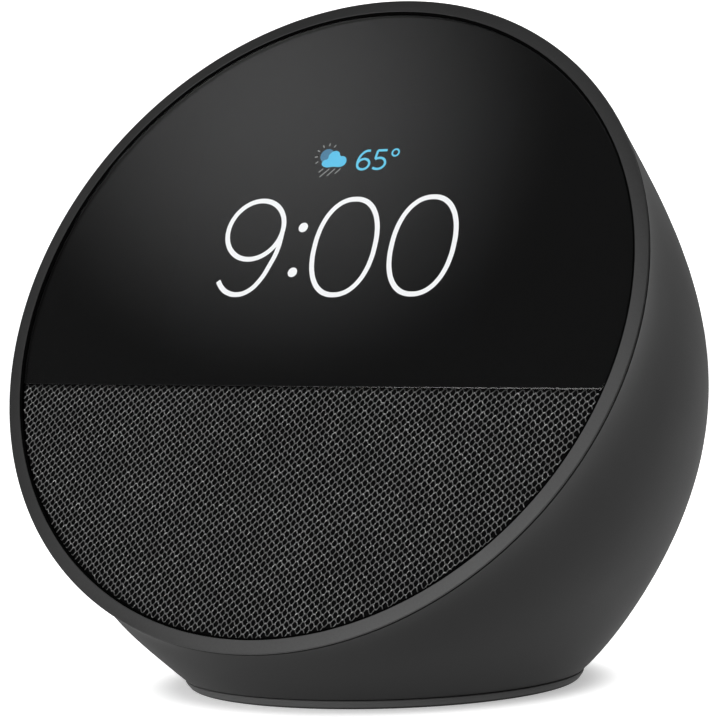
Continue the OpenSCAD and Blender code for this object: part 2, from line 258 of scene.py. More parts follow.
def ovalStack(name, ovals, sides):
    # ovals: (half width, half depth, middle, tilt), bridged in order, ends closed
    deselectAll()
    bpy.ops.mesh.primitive_circle_add(vertices=sides, radius=1)
    piece = named(name)
    editMode(piece)
    bpy.ops.mesh.delete(type="VERT")
    for index, (halfWidth, halfDepth, middle, tilt) in enumerate(ovals):
        bpy.ops.mesh.primitive_circle_add(vertices=sides, radius=halfWidth * mm)
        bpy.ops.transform.resize(value=(1, halfDepth / halfWidth, 1), center_override=(0, 0, 0))
        bpy.ops.transform.rotate(value=-tilt, orient_axis="X", center_override=(0, 0, 0))
        bpy.ops.transform.translate(value=middle * mm)
        if index in (0, len(ovals) - 1):
            bpy.ops.mesh.edge_face_add()
        if index:
            mesh = bmesh.from_edit_mesh(piece.data)
            mesh.verts.ensure_lookup_table()
            bpy.ops.mesh.select_all(action="DESELECT")
            rings = [mesh.verts[-2 * sides:-sides], mesh.verts[-sides:]]
            for ring in rings:
                for k in range(sides):
                    edge = mesh.edges.get((ring[k], ring[(k + 1) % sides]))
                    edge.select_set(True)
            bpy.ops.mesh.bridge_edge_loops(use_merge=False)
    bpy.ops.mesh.select_all(action="SELECT")
    bpy.ops.mesh.normals_make_consistent(inside=False)
    objectMode()
    return piece


# finishes
class Signal:
    def __init__(self, finish, socket):
        self.finish, self.socket = finish, socket

    def math(self, operation, first, second=0.0):
        return self.finish.add("ShaderNodeMath", {"operation": operation}, {0: first, 1: second})

    def __add__(self, other): return self.math("ADD", self, other)
    def __radd__(self, other): return self.math("ADD", other, self)
    def __sub__(self, other): return self.math("SUBTRACT", self, other)
    def __rsub__(self, other): return self.math("SUBTRACT", other, self)
    def __mul__(self, other): return self.math("MULTIPLY", self, other)
    def __rmul__(self, other): return self.math("MULTIPLY", other, self)
    def __truediv__(self, other): return self.math("DIVIDE", self, other)
    def __pow__(self, other): return self.math("POWER", self, other)
    def __abs__(self): return self.math("ABSOLUTE", self)


class Finish:
    def __init__(self, name, world=False):
        self.owner = bpy.data.worlds.new(name) if world else bpy.data.materials.new(name)
        self.owner.use_nodes = True
        self.tree = self.owner.node_tree
        self.tree.nodes.clear()

    def add(self, kind, settings=None, sockets=None, output=0):
        node = self.tree.nodes.new(kind)
        for key, value in (settings or {}).items():
            if key == "stops":
                for place, tone in value[2:]:
                    node.color_ramp.elements.new(place)
                for element, (place, tone) in zip(node.color_ramp.elements, sorted(value)):
                    element.position, element.color = place, (*tone, 1) if len(tone) == 3 else tone
            else:
                setattr(node, key, value)
        for key, value in (sockets or {}).items():
            if isinstance(value, Signal):
                self.tree.links.new(value.socket, node.inputs[key])
            else:
                node.inputs[key].default_value = value
        return Signal(self, node.outputs[output]) if node.outputs else node

    def coords(self, scale=1.0, turn=(0, 0, 0), move=(0, 0, 0)):
        where = self.add("ShaderNodeTexCoord", output="Object")
        scale = scale if isinstance(scale, tuple) else (scale,) * 3
        return self.add("ShaderNodeMapping", {}, {"Vector": where, "Scale": scale, "Rotation": turn, "Location": move})

    def noise(self, where, scale, detail=4.0, rough=0.55, distortion=0.0):
        return self.add("ShaderNodeTexNoise", {}, {"Vector": where, "Scale": scale, "Detail": detail,
                                                   "Roughness": rough, "Distortion": distortion})

    def blend(self, amount, first, second, kind="MIX"):
        node = self.tree.nodes.new("ShaderNodeMix")
        node.data_type, node.blend_type = "RGBA", kind
        for index, value in ((0, amount), (6, first), (7, second)):
            if isinstance(value, Signal):
                self.tree.links.new(value.socket, node.inputs[index])
            else:
                colour = isinstance(value, tuple) and len(value) == 3
                node.inputs[index].default_value = (*value, 1) if colour else value
        return Signal(self, node.outputs[2])

    def range(self, value, low, high, outLow=0.0, outHigh=1.0, kind="SMOOTHSTEP"):
        return self.add("ShaderNodeMapRange", {"interpolation_type": kind},
                        {"Value": value, "From Min": low, "From Max": high, "To Min": outLow, "To Max": outHigh})

    def bump(self, height, strength, distance):
        return self.add("ShaderNodeBump", {}, {"Height": height, "Strength": strength, "Distance": distance})

    def principled(self, **sockets):
        shader = self.add("ShaderNodeBsdfPrincipled", {}, {k.replace("_", " "): v for k, v in sockets.items()})
        self.add("ShaderNodeOutputMaterial", {}, {"Surface": shader})
        return self.owner


def grey(value):
    return (value, value, value)


def moulded(name, tone, rough, grain, mottle=0.06, bumpDepth=0.02, tint=(1, 1, 1), specular=0.5, contactShadowHeight=0.0):
    # moulded plastic or rubber: fine spark-eroded grain, a slow mottle and worn patches in the gloss, and, if a height
    # is given, a painted contact shadow along the bottom edge
    finish = Finish(name)
    where = finish.coords()
    fine = finish.noise(where, grain, 3.0, 0.6)
    pits = finish.add("ShaderNodeTexVoronoi", {"feature": "F1"}, {"Vector": where, "Scale": grain * 0.8})
    slow = finish.noise(where, 38.0, 3.0, 0.5)
    level = 1.0 + (fine - 0.5) * mottle * 4 + (slow - 0.5) * mottle * 2
    dark = tuple(tone * c * 0.4 for c in tint)
    light = tuple(tone * c * 1.6 for c in tint)
    colour = finish.blend(level * 0.5, dark, light)
    # painted contact shadow: the colour goes almost black along the bottom edge, below the given height
    if contactShadowHeight:
        height = finish.add("ShaderNodeVectorMath", {"operation": "DOT_PRODUCT"}, {0: where, 1: (0, 0, 1)}, "Value")
        colour = finish.blend(finish.range(height, contactShadowHeight * mm, contactShadowHeight * 1.7 * mm), tuple(c * 0.15 for c in dark), colour)
    gloss = rough + (slow - 0.5) * 0.16 + (fine - 0.5) * 0.12
    height = fine * 0.7 + pits * 0.3
    return finish.principled(Base_Color=colour, Roughness=gloss, Specular_IOR_Level=specular,
                             Normal=finish.bump(height, 0.35, bumpDepth * mm))


def metal(name, tone, rough, brush=(1.0, 14.0, 1.0), tint=(1, 1, 1)):
    finish = Finish(name)
    where = finish.coords(brush)
    streak = finish.noise(where, 700.0, 4.0, 0.6)
    cloud = finish.noise(finish.coords(), 120.0, 3.0, 0.5)
    low = tuple(tone * c * 0.8 for c in tint)
    high = tuple(min(1, tone * c * 1.15) for c in tint)
    return finish.principled(Base_Color=finish.blend(streak * 0.6 + cloud * 0.4, low, high), Metallic=1.0,
                             Roughness=rough + (streak - 0.5) * 0.2 + (cloud - 0.5) * 0.1,
                             Normal=finish.bump(streak, 0.15, 0.01 * mm))


def boardFinish(name):
    # solder-mask green over copper tracks
    finish = Finish(name)
    where = finish.coords()
    cells = finish.add("ShaderNodeTexBrick", {"offset": 0.35, "squash": 1.6}, {"Vector": where, "Scale": 260.0,
                       "Mortar Size": 0.03, "Color1": (0.006, 0.055, 0.024, 1), "Color2": (0.01, 0.08, 0.035, 1),
                       "Mortar": (0.02, 0.16, 0.06, 1)})
    dust = finish.noise(where, 900.0, 3.0)
    return finish.principled(Base_Color=finish.blend(dust * 0.3, cells, (0.004, 0.03, 0.014)),
                             Roughness=0.34 + dust * 0.15, Coat_Weight=0.4, Normal=finish.bump(dust, 0.1, 0.01 * mm))


def lit(name, tone, strength, pitch=0.12):
    # the glow of a lit screen, broken up by a fine dot grid
    finish = Finish(name)
    where = finish.coords(turn=(-places["face"][1], 0, 0))
    dots = finish.add("ShaderNodeTexVoronoi", {"feature": "F1"},
                      {"Vector": where, "Scale": 1 / (pitch * mm), "Randomness": 0.0})
    glow = finish.blend(finish.range(dots, 0.2, 0.8) * 0.12, tone, tuple(c * 0.5 for c in tone))
    return finish.principled(Base_Color=(0.01, 0.01, 0.01, 1), Roughness=0.5, Emission_Color=glow,
                             Emission_Strength=strength)


def paint(piece, finish):
    if not piece.data.materials:
        piece.data.materials.append(finish)
    for index in range(len(piece.data.materials)):
        piece.data.materials[index] = finish


def fit(piece, bodyName, finish, slotName, *stands):
    paint(piece, finish)
    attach(piece, bodyName)
    if stands:
        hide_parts(*stands)
    return piece


finishes = {
    "casing": moulded("casingPlastic", 0.02, 0.6, 5200.0, 0.05, 0.02, specular=0.2),
    "bezel": moulded("bezelPlastic", 0.026, 0.4, 2600.0, 0.25, 0.04),
    "keys": moulded("keyPlastic", 0.036, 0.48, 5600.0, 0.05, 0.02),
    "keyMarks": moulded("keyMarkPlastic", 0.13, 0.5, 5600.0, 0.05, 0.02),
    # the foot's bottom 0.22 mm carries a painted contact shadow
    "foot": moulded("footRubber", 0.085, 0.72, 3000.0, 0.08, 0.03, specular=0.3, contactShadowHeight=0.22),
    "inlet": moulded("inletPlastic", 0.018, 0.42, 5000.0, 0.05, 0.02),
    "black": moulded("blackPlastic", 0.015, 0.5, 3600.0),
    "chassis": moulded("chassisPlastic", 0.05, 0.55, 3000.0),
    "whitePlastic": moulded("whitePlastic", 0.75, 0.45, 2600.0, 0.02),
    "ivory": moulded("connectorNylon", 0.62, 0.45, 2600.0, 0.03, tint=(1, 0.96, 0.86)),
    "foam": moulded("foamGasket", 0.04, 0.9, 1500.0, 0.2, 0.06),
    "softRubber": moulded("bootRubber", 0.02, 0.75, 2600.0, 0.08, 0.03),
    "paper": moulded("pressedPaper", 0.03, 0.8, 1800.0, 0.2, 0.06),
    "spider": moulded("dopedCloth", 0.5, 0.8, 2400.0, 0.15, 0.05, tint=(1, 0.72, 0.3)),
    "magnet": moulded("ferrite", 0.07, 0.6, 1400.0, 0.15, 0.03),
    "pad": moulded("thermalPad", 0.3, 0.75, 1500.0, 0.08, 0.03, tint=(0.8, 0.95, 1.1)),
    "flex": moulded("flexFilm", 0.55, 0.35, 900.0, 0.06, 0.01, tint=(1, 0.5, 0.12)),
    "redLead": moulded("redLead", 0.4, 0.45, 2400.0, 0.05, 0.02, tint=(1, 0.08, 0.06)),
    "darkLead": moulded("darkLead", 0.02, 0.45, 2400.0, 0.05, 0.02),
    "chip": moulded("chipResin", 0.02, 0.5, 2200.0, 0.1, 0.02),
    "maskPrint": moulded("blackPrint", 0.0025, 0.6, 3000.0, 0.05, 0.005, specular=0.0),
    "panel": moulded("panelDark", 0.0035, 0.6, 2600.0, 0.05, 0.005, tint=(0.95, 1, 1.1), specular=0.0),
    "guide": moulded("lightGuide", 0.8, 0.2, 1200.0, 0.02, 0.005),
    "steel": metal("steel", 0.55, 0.32),
    "zinc": metal("zincSheet", 0.6, 0.38),
    "aluminium": metal("aluminium", 0.7, 0.35),
    "copper": metal("copperWire", 0.6, 0.35, (1, 1, 30), (1, 0.5, 0.3)),
    "gold": metal("goldPlate", 0.75, 0.3, tint=(1, 0.75, 0.35)),
    "brass": metal("brassTag", 0.6, 0.4, tint=(1, 0.75, 0.4)),
    "board": boardFinish("boardGreen"),
}

finishOf = {
    "casing": ["rear_casing"], "bezel": ["bezel_ring"], "keys": ["volume_down_key", "mic_off_key", "volume_up_key"],
    "foot": ["foot_pad"], "inlet": ["inlet_bezel"], "black": ["jack_body", "button_switches", "grille_plate"],
    "chassis": ["front_chassis", "speaker_enclosure", "speaker_basket"],
    "whitePlastic": ["volume_down_plunger", "mic_off_plunger", "volume_up_plunger"], "ivory": ["board_connectors"],
    "foam": ["speaker_gasket", "grille_fabric"], "softRubber": ["mic_boots", "speaker_surround"],
    "paper": ["speaker_cone", "dust_cap"], "spider": ["speaker_spider"], "magnet": ["speaker_magnet"],
    "pad": ["thermal_pad"],
    "flex": ["display_flex", "button_flex"], "redLead": ["speaker_leads"], "darkLead": ["power_leads"],
    "chip": ["processor", "memory_chip", "light_sensor"], "maskPrint": ["glass_mask", "glass_tape"],
    "panel": ["lcd_panel", "cover_glass"],
    "guide": ["light_guide"],
    "steel": ["chassis_screws", "speaker_screws", "board_screws", "button_screws", "base_screws", "speaker_top_plate",
              "speaker_yoke", "ballast_plate"],
    "zinc": ["backlight_tray", "shield_can", "wifi_module"], "aluminium": ["heat_spreader", "jack_contact"],
    "copper": ["voice_coil"], "gold": ["microphones", "wifi_antennas"], "brass": ["speaker_terminals"],
    "board": ["main_board", "button_board"],
}
for finishName, members in finishOf.items():
    for member in members:
        paint(nodes[member], finishes[finishName])
left = sorted(set(nodes) - {m for members in finishOf.values() for m in members})
print("finishes done, nodes without one:", left)

# casing
casing = {"keyHole": 4.6, "keyPitch": 12.5, "micHole": 0.6, "micAt": [(19.5, -6), (-19.5, -6)], "inletHole": 7.1,
          "boss": (3.2, -90, -6), "bossAt": [(41.5, 18), (-41.5, 18), (38, -28), (-38, -28)], "screwHole": (1, -15, -5),
          "keyBoss": (2.4, -10.5, 20), "keyBossAt": [(19, 7), (-19, 7)], "keyScrewHole": (0.9, -11.5, -7),
          "pocket": (55.1, -1.75, 5), "baseHole": 1.2, "baseScrewAt": [(14, 18), (-14, 18), (14, -18), (-14, -18)]}


def sectionAt(u, inset=0.0):
    back, front = pointOnCurve(backControls, u), pointOnCurve(frontControls, u)
    half = (back - front) / 2
    width = pointOnCurve(widthControls, u).x
    return (width - inset, half.length - inset, (back + front) / 2, math.atan2(half.z, half.y))


steps = [k / body["sections"] for k in range(body["sections"] + 1)]
shell = ovalStack("casingShell", [sectionAt(u) for u in steps], body["around"])
mouthRadius = body["ringR"] - body["wall"]
mouth = (mouthRadius, mouthRadius, rimMid + faceOut, sectionAt(0)[3])
hollow = ovalStack("hollow", [mouth] + [sectionAt(u, body["wall"]) for u in steps], body["around"])
editMode(hollow)
bpy.ops.mesh.bisect(plane_co=(0, 0, body["floorTop"] * mm), plane_no=(0, 0, 1), use_fill=True, clear_inner=True)
objectMode()
bosses = []
for kind, place in (("boss", "face"), ("keyBoss", "keys")):
    for at in casing[kind + "At"]:
        boss = disc("boss", *casing[kind], at, 32)
        turnInto(boss, place)
        bosses.append(boss)
cutAway(hollow, joined(bosses))
cutAway(shell, hollow)
cutters = [disc("pocket", *casing["pocket"], sides=288)]
cutters += [disc("screwHole", *casing["screwHole"], at, 24) for at in casing["bossAt"]]
for cutter in cutters:
    turnInto(cutter, "face")
keyCutters = [disc("keyHole", casing["keyHole"], -9, 5, (i * casing["keyPitch"], 0), 96) for i in (-1, 0, 1)]
keyCutters += [disc("micHole", casing["micHole"], -9, 5, at, 32) for at in casing["micAt"]]
keyCutters += [disc("keyScrewHole", *casing["keyScrewHole"], at, 24) for at in casing["keyBossAt"]]
for cutter in keyCutters:
    turnInto(cutter, "keys")
inletCutter = disc("inletHole", casing["inletHole"], -6, 5, sides=96)
turnInto(inletCutter, "inlet")
baseCutters = [disc("baseHole", casing["baseHole"], 0, body["floorTop"] + 1, at, 24) for at in casing["baseScrewAt"]]
cutAway(shell, joined(cutters + keyCutters + [inletCutter] + baseCutters))
print("casing cut:", len(shell.data.polygons), "faces")
smooth(shell, 30)
fit(shell, "case", finishes["casing"], "casing_plastic", "rear_casing")

# bezel ring
ring = {"steps": 288, "round": 0.05,
        "profile": [(54.3, 0.15), (56.4, -0.06), (56.5, -0.16), (56.5, -0.26), (55.9, -0.26), (55.9, -0.6), (55, -0.6),
                    (55, -1.7), (53, -1.7), (53, -3), (50.5, -3), (50.5, -1.1), (54.3, -1.1)],
        "gasket": [(54.29, 0.07), (54.29, -1.05), (54.08, -1.05), (54.08, -0.23), (53.88, -0.23), (53.95, 0.0)]}
bezel = lathe("bezelRing", ring["profile"], ring["steps"])
softenEdges(bezel, ring["round"], 2, 35)
turnInto(bezel, "face")
smooth(bezel, 20)
fit(bezel, "case", finishes["bezel"], "bezel_plastic", "bezel_ring")
# a black band lining the ring's inner wall, standing in as painted shade in the seam between ring and glass
gasket = lathe("rimGasketShade", ring["gasket"], ring["steps"])
turnInto(gasket, "face")
smooth(gasket, 20)
fit(gasket, "case", finishes["maskPrint"], "black_rubber")
print("ring done")

# glass
glass = {"radius": 54.05, "front": -0.25, "back": -0.92, "lowerEdge": -12.76, "edge": 0.02, "flat": 0.3,
         "printRadius": 53.9, "printBack": -0.95, "printFront": -0.93,
         "window": Vector((57.5, 43.1, 1)), "windowMid": Vector((0, 15.5, -0.94)),
         "tapeFront": -0.21, "tapeTop": -12.762, "tapeBottom": -12.795}
pane = disc("coverGlass", glass["radius"], glass["back"], glass["front"], sides=288)
halved(pane, glass["lowerEdge"], 1, clear_inner=True)
softenEdges(pane, glass["edge"], 3)
editMode(pane)
bpy.ops.mesh.select_mode(type="FACE")
selectWhere(lambda middle, normal: abs(normal.z) > 0.999, "faces")
bpy.ops.mesh.inset(thickness=glass["flat"] * mm)  # keeps the flat faces' shading flat
turnInto(pane, "face")
smooth(pane)


def glassFinish():
    finish = Finish("darkGlass")
    smear = finish.noise(finish.coords(), 26.0, 4.0, 0.6)
    return finish.principled(Base_Color=(0.86, 0.87, 0.88, 1), Transmission_Weight=1.0, IOR=1.47,
                             Roughness=finish.range(smear, 0.35, 0.75, 0.0, 0.012))


fit(pane, "case", glassFinish(), "cover_glass", "cover_glass")
printed = disc("glassPrint", glass["printRadius"], glass["printBack"], glass["printFront"], sides=288)
halved(printed, glass["lowerEdge"], 1, clear_inner=True)
deselectAll()
bpy.ops.mesh.primitive_cube_add(size=1, location=glass["windowMid"] * mm, scale=glass["window"] * mm)
bpy.ops.object.transform_apply(location=True, rotation=True, scale=True)
cutAway(printed, bpy.context.object)
turnInto(printed, "face")
fit(printed, "case", finishes["maskPrint"], "black_print", "glass_mask")
edgeTape = disc("edgeTape", glass["printRadius"], glass["back"], glass["tapeFront"])
halved(edgeTape, glass["tapeTop"], 1, clear_outer=True)
halved(edgeTape, glass["tapeBottom"], -1, clear_outer=True)
turnInto(edgeTape, "face")
fit(edgeTape, "case", finishes["maskPrint"], "black_tape")
print("glass done")

# picture on the screen
picture = {"move": Vector((-0.455, 0.37, -1.02)), "stroke": 0.85, "smallStroke": 0.42, "degreeStroke": 0.3,
           "rayStroke": 0.2, "white": grey(0.82), "whiteGlow": 1.42, "blue": (0.13, 0.71, 1.0),
           "cloud": (0.1, 0.64, 0.98), "sun": (0.045, 0.22, 0.38), "sunMid": (-4.2, 27.86), "rays": grey(0.3)}


def strokes(name, lines, width, finish, flat=0.03, cyclic=()):
    # each line is a list of (x, y) on the face; drawn as round wire, then pressed flat
    curve = bpy.data.curves.new(name, "CURVE")
    curve.dimensions = "3D"
    curve.bevel_depth = width / 2 * mm
    curve.bevel_resolution = 3
    curve.resolution_u = 10
    curve.use_fill_caps = True
    for index, line in enumerate(lines):
        spline = curve.splines.new("BEZIER")
        spline.bezier_points.add(len(line) - 1)
        for point, (x, y) in zip(spline.bezier_points, line):
            point.co = (x * mm, y * mm, 0)
            point.handle_left_type = point.handle_right_type = "AUTO"
        spline.use_cyclic_u = index in cyclic
    piece = meshFrom(name, curve)
    editMode(piece)
    bpy.ops.mesh.remove_doubles(threshold=1e-7)
    bpy.ops.transform.resize(value=(1, 1, flat), center_override=(0, 0, 0))
    bpy.ops.transform.translate(value=picture["move"] * mm)
    bpy.ops.mesh.normals_make_consistent(inside=False)
    turnInto(piece, "face")
    smooth(piece)
    return fit(piece, "case", finish, "screen")


def ovalLine(x, y, rx, ry, power=2.0, count=24):
    line = []
    for k in range(count):
        a = 2 * math.pi * k / count
        c, s = math.cos(a), math.sin(a)
        across, up = math.copysign(abs(c) ** (2 / power), c), math.copysign(abs(s) ** (2 / power), s)
        line.append((x + rx * across, y + ry * up))
    return line


def filled(name, line, finish, lift=0.0):
    curve = bpy.data.curves.new(name, "CURVE")
    curve.dimensions = "2D"
    curve.fill_mode = "BOTH"
    curve.extrude = 0.008 * mm
    curve.resolution_u = 8
    spline = curve.splines.new("BEZIER")
    spline.bezier_points.add(len(line) - 1)
    for point, (x, y) in zip(spline.bezier_points, line):
        point.co = (x * mm, y * mm, 0)
        point.handle_left_type = point.handle_right_type = "AUTO"
    spline.use_cyclic_u = True
    piece = meshFrom(name, curve)
    editMode(piece)
    bpy.ops.mesh.remove_doubles(threshold=1e-7)
    bpy.ops.transform.translate(value=(picture["move"] + Vector((0, 0, lift))) * mm)
    bpy.ops.mesh.normals_make_consistent(inside=False)
    turnInto(piece, "face")
    return fit(piece, "case", finish, "screen")


whiteGlow = lit("numeralGlow", picture["white"], picture["whiteGlow"])
blueGlow = lit("blueGlow", picture["blue"], 1.0)
strokes("clockNumerals", [ovalLine(-14.36, 14.65, 5.2, 5.28),
                          [(-9.17, 14.9), (-9.3, 10.9), (-10, 8.4), (-11.25, 5.5), (-12.9, 3.7), (-14.8, 3.07),
                           (-16.96, 3.5), (-18.2, 4.4), (-19.1, 5.5)],
                          ovalLine(3.07, 11.3, 5.53, 8.45, 2.2), ovalLine(17.14, 11.3, 5.53, 8.45, 2.2)],
        picture["stroke"], whiteGlow, cyclic=(0, 2, 3))
for name, y in (("colonUpper", 14.9), ("colonLower", 6.9)):
    filled(name, ovalLine(-5.43, y, 0.84, 0.84), whiteGlow)
strokes("temperatureNumerals", [ovalLine(2.93, 26.07, 1.09, 0.94),
                                [(3.79, 28.5), (3.0, 28.42), (2.25, 27.8), (1.86, 26.9), (1.8, 26.1)],
                                [(6.86, 28.46), (5.95, 28.46), (5.14, 28.46)],
                                [(5.14, 28.46), (5.05, 27.7), (4.97, 26.93)],
                                [(4.97, 26.93), (5.7, 27.1), (6.5, 26.88), (6.93, 26.1), (6.68, 25.5), (6, 25.14),
                                 (5.3, 25.16), (4.79, 25.36)]],
        picture["smallStroke"], blueGlow, cyclic=(0,))
strokes("degreeMark", [ovalLine(8.46, 27.97, 0.6, 0.6)], picture["degreeStroke"], blueGlow, cyclic=(0,))
filled("weatherCloud", [(-4.2, 25.8), (-4.86, 26.4), (-4.6, 27.0), (-3.95, 27.25), (-3.8, 28.0), (-3.0, 28.66),
                        (-2.1, 28.45), (-1.62, 27.72), (-0.95, 27.62), (-0.4, 27.05), (-0.42, 26.3), (-1.0, 25.8),
                        (-2.6, 25.79)], lit("cloudGlow", picture["cloud"], 1.0), 0.02)
sunX, sunY = picture["sunMid"]
filled("weatherSun", ovalLine(sunX, sunY, 1.25, 1.25, count=16), lit("sunGlow", picture["sun"], 1.0), -0.012)
rayGlow = lit("rayGlow", picture["rays"], 1.0)
strokes("weatherRays", [[(sunX + r * math.cos(a), sunY + r * math.sin(a)) for r in (1.75, 2.0, 2.3)]
                        for a in (math.radians(58 + 31.5 * i) for i in range(6))], picture["rayStroke"], rayGlow)
drops = [((-4.36, 25.5), (-5.07, 24.86)), ((-3.2, 25.46), (-4.7, 24.0)), ((-2.14, 25.43), (-3.36, 24.17)),
         ((-1.1, 25.43), (-1.97, 24.5))]
rain = [[a, ((a[0] + b[0]) / 2, (a[1] + b[1]) / 2), b] for a, b in drops]
strokes("weatherRain", rain, picture["rayStroke"], rayGlow)
print("picture done")

# grille cloth and its knitted net
cloth = {"radius": 54.0, "upperEdge": -12.8, "back": -0.695, "front": -0.64, "cell": 1.445, "row": 0.62, "yarn": 0.09,
         "depth": -0.37, "firstRow": 0.4, "tuck": 0.2, "rim": 0.25, "flat": (0.1049, 0.0411), "area": 0.0032}
backing = disc("grilleCloth", cloth["radius"], cloth["back"], cloth["front"])
halved(backing, cloth["upperEdge"], 1, clear_outer=True)
turnInto(backing, "face")
smooth(backing)


def clothFinish(name, dark, light, glintLevel, paintedShadeDepths, sheen, specular):
    # twisted black yarn with pale fibres: painted highlight specks where it comes forward, painted shade where it dips
    finish = Finish(name)
    where = finish.coords()
    fibre = finish.noise(finish.coords(2600.0), 1.0, 4.0, 0.7, 0.6)
    # painted highlight: bright specks, shown only where the yarn comes forward
    glintSpeck = finish.range(finish.noise(where, 3200.0, 1.0, 0.5), glintLevel, glintLevel + 0.12)
    slow = finish.noise(where, 60.0, 3.0, 0.5)
    out = finish.add("ShaderNodeVectorMath", {"operation": "DOT_PRODUCT"}, {0: where, 1: faceOut}, "Value")
    # painted shade by depth: darker the further back the surface lies from the face
    paintedDepthShade = finish.range((out - faceMid.dot(faceOut) * mm) * 1000.0, *paintedShadeDepths)
    pale = finish.range(fibre, 0.3, 0.75) * 0.4 + 0.35 + (slow - 0.5) * 0.2
    base = finish.blend(pale * (paintedDepthShade * 0.75 + 0.25), dark, light)
    colour = finish.blend(glintSpeck * paintedDepthShade * 0.7, base, tuple(min(0.9, c * 2.2) for c in light))
    return finish.principled(Base_Color=colour, Roughness=0.7 + (fibre - 0.5) * 0.3, Sheen_Weight=sheen,
                             Sheen_Roughness=0.4, Specular_IOR_Level=specular,
                             Normal=finish.bump(fibre, 0.6, 0.05 * mm))


# backing sheet, near black as painted shade seen through the holes of the knit
backingShadeFinish = clothFinish("clothBackingShade", grey(0.0015), grey(0.008), 0.62, (-0.8, -0.6), 0.0, 0.02)
fit(backing, "case", backingShadeFinish, "grille_cloth", "grille_fabric")

# each row is one yarn that runs over and under its neighbours: (part of a cell, height, sideways lean, lift)
stitch = [(0.11, 0.27, 0.03, 0.05), (0.25, 0.36, 0.06, 0.09), (0.39, 0.27, 0.03, 0.05),
          (0.61, -0.27, -0.03, -0.03), (0.75, -0.36, -0.06, -0.07), (0.89, -0.27, -0.03, -0.03)]
net = bpy.data.curves.new("knitYarn", "CURVE")
net.dimensions = "3D"
net.bevel_depth = cloth["yarn"] * mm
net.bevel_resolution = 0
net.use_fill_caps = True
rowCount = int((cloth["radius"] + cloth["upperEdge"]) / cloth["row"])
for k in range(rowCount):
    y = cloth["upperEdge"] - cloth["firstRow"] - k * cloth["row"]
    reach = math.sqrt(max(0, (cloth["radius"] - cloth["rim"]) ** 2 - y * y))
    if reach < 2:
        continue
    drift = random.uniform(-0.04, 0.04)
    first = math.floor(-reach / cloth["cell"]) - 1
    line = []
    for cell in range(first, -first + 1):
        for part, height, lean, lift in stitch:
            x = (cell + part + (0.5 if k % 2 else 0.0)) * cloth["cell"] + lean + drift + random.uniform(-0.02, 0.02)
            sway = 0.03 * math.sin(x * 1.9 + k * 2.1) + 0.04 * math.sin(x * 0.31 + k * 0.25)
            if k == 0 and height > 0:
                lift -= cloth["tuck"]  # tucked in along the edge of the glass
            if abs(x) < reach:
                high = y + height + sway + random.uniform(-0.025, 0.025)
                line.append((x, high, cloth["depth"] + lift, random.uniform(0.8, 1.15)))
    spline = net.splines.new("POLY")
    spline.points.add(len(line) - 1)
    for point, (x, high, z, thick) in zip(spline.points, line):
        point.co = (x * mm, high * mm, z * mm, 1)
        point.radius = thick
yarn = meshFrom("knitYarn", net)
turnInto(yarn, "face")
pick(yarn)
bpy.ops.object.shade_smooth()
yarnFinish = clothFinish("knitYarnBlack", grey(0.01), grey(0.385), 0.57, (-0.52, -0.2), 0.05, 0.2)
fit(yarn, "case", yarnFinish, "grille_cloth")
print("cloth done:", len(yarn.data.polygons), "faces")

# foot
foot = {"around": 144, "ovals": [(30.2, 36.3, 0), (30.45, 36.7, 0.2), (30.8, 37.35, 0.75), (30.95, 37.65, 1.1),
                                 (30.95, 37.75, 1.32), (30.8, 37.65, 1.44), (30.2, 37, 1.46), (30.1, 36.9, 1.6)]}
footPad = ovalStack("footPad", [(w, d, Vector((0, 0, z)), 0) for w, d, z in foot["ovals"]], foot["around"])
smooth(footPad, 40)
fit(footPad, "case", finishes["foot"], "foot_rubber", "foot_pad")
print("foot done")

# keys
keys = {"dome": 54.0, "proud": 0.35, "flange": 5.0, "flangeThick": 0.8, "stem": 1.5, "stemEnd": -8.0, "edge": 0.08,
        "top": [(0, 0), (1.1, 0), (2.2, 0), (3.2, 0), (3.75, 0), (4.0, -0.06), (4.14, -0.2), (4.2, -0.42)],
        "bodies": {"volume_down": (-1, -6.0), "mic_off": (0, -3.1), "volume_up": (1, -6.0)}}


def domeHeight(x, y):
    return keys["proud"] - keys["dome"] + math.sqrt(keys["dome"] ** 2 - x * x - y * y)


for keyBody, (side, flangeZ) in keys["bodies"].items():
    mid = side * casing["keyPitch"]
    flangeEnd = flangeZ - keys["flangeThick"]
    profile = keys["top"] + [(keys["top"][-1][0], flangeZ), (keys["flange"], flangeZ), (keys["flange"], flangeEnd),
                             (keys["stem"], flangeEnd), (keys["stem"], keys["stemEnd"]), (0, keys["stemEnd"])]
    cap = lathe(keyBody.replace("_", "-") + "-cap", profile, 96, closed=False)
    for vert in cap.data.vertices:
        x, y, z = vert.co / mm
        if z > -0.5:
            vert.co.z = (z + domeHeight(x + mid, y)) * mm
        vert.co.x += mid * mm
    softenEdges(cap, keys["edge"], 2, 60)
    turnInto(cap, "keys")
    smooth(cap, 40)
    fit(cap, keyBody, finishes["keys"], "casing_plastic", keyBody + "_key")

